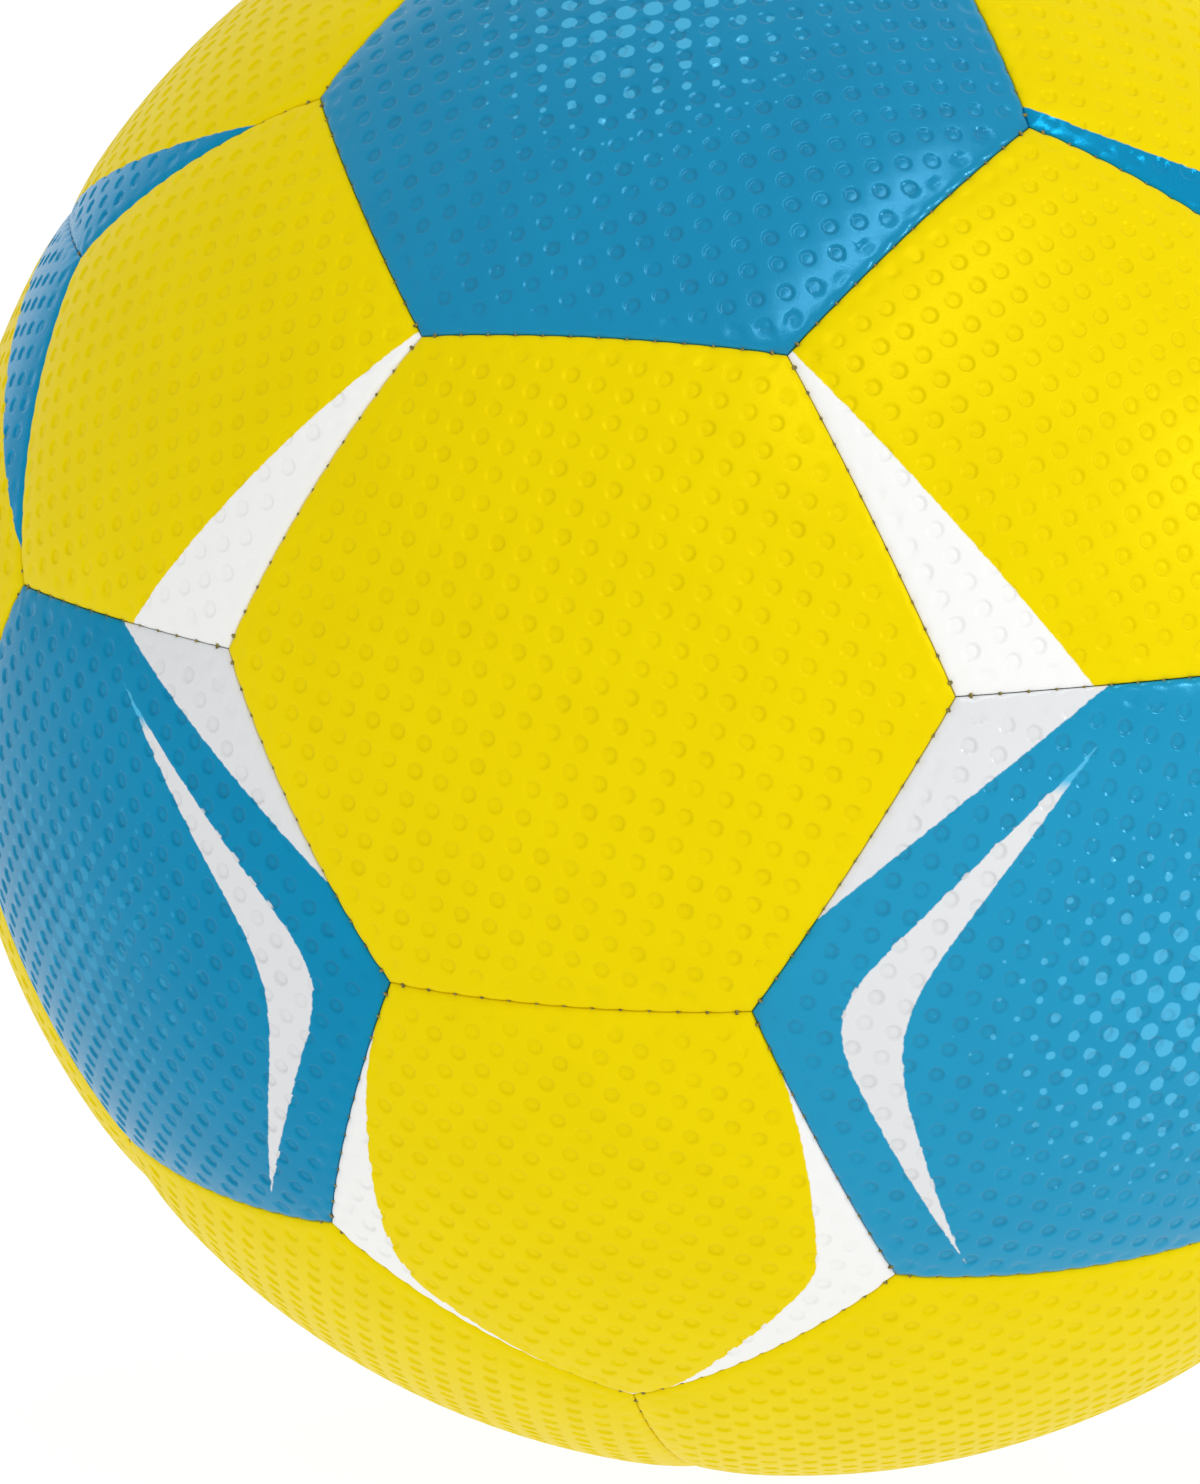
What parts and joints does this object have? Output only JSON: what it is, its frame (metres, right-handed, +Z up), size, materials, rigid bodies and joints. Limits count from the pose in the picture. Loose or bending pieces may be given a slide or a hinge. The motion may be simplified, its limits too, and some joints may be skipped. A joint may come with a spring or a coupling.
{
  "type": "handball",
  "caption": "Inflated hand-stitched ball of pentagon and hexagon panels over a rubber bladder with a needle valve.",
  "frame": {"origin": "centre of the ball", "axes": "-Y towards the middle of the front hexagon panel, +Y out through the valve in the rear hexagon panel, +Z up, with a pentagon panel straight below the front panel; the YZ plane is a plane of symmetry of the panel layout"},
  "size_m": [0.187, 0.1877, 0.1874],
  "materials": {
    "yellow_leather": "dimpled synthetic leather, semi-gloss",
    "blue_leather": "dimpled synthetic leather, semi-gloss",
    "lining_cloth": "woven, matte",
    "waxed_thread": "waxed polyester",
    "bladder_rubber": "matte",
    "valve_rubber": "satin, moulded",
    "core_rubber": "satin, moulded",
    "patch_cloth": "coated cloth, matte"
  },
  "bodies": {
    "root": {"hexagon_panel_01": "yellow_leather", "hexagon_panel_02": "blue_leather", "hexagon_panel_03": "blue_leather", "hexagon_panel_04": "blue_leather", "hexagon_panel_05": "yellow_leather", "hexagon_panel_06": "yellow_leather", "hexagon_panel_07": "yellow_leather", "hexagon_panel_08": "yellow_leather", "hexagon_panel_09": "yellow_leather", "hexagon_panel_10": "yellow_leather", "hexagon_panel_11": "yellow_leather", "hexagon_panel_12": "yellow_leather", "hexagon_panel_13": "yellow_leather", "hexagon_panel_14": "yellow_leather", "hexagon_panel_15": "yellow_leather", "hexagon_panel_16": "yellow_leather", "hexagon_panel_17": "blue_leather", "hexagon_panel_18": "blue_leather", "hexagon_panel_19": "blue_leather", "hexagon_panel_20": "yellow_leather", "pentagon_panel_01": "yellow_leather", "pentagon_panel_02": "yellow_leather", "pentagon_panel_03": "yellow_leather", "pentagon_panel_04": "yellow_leather", "pentagon_panel_05": "yellow_leather", "pentagon_panel_06": "yellow_leather", "pentagon_panel_07": "yellow_leather", "pentagon_panel_08": "yellow_leather", "pentagon_panel_09": "yellow_leather", "pentagon_panel_10": "yellow_leather", "pentagon_panel_11": "yellow_leather", "pentagon_panel_12": "yellow_leather", "front_hexagon_linings": "lining_cloth", "rear_hexagon_linings": "lining_cloth", "pentagon_linings": "lining_cloth", "seam_thread": "waxed_thread", "bladder": "bladder_rubber", "valve_housing": "valve_rubber", "valve_core": "core_rubber", "valve_patch": "patch_cloth"}
  },
  "joints": []
}
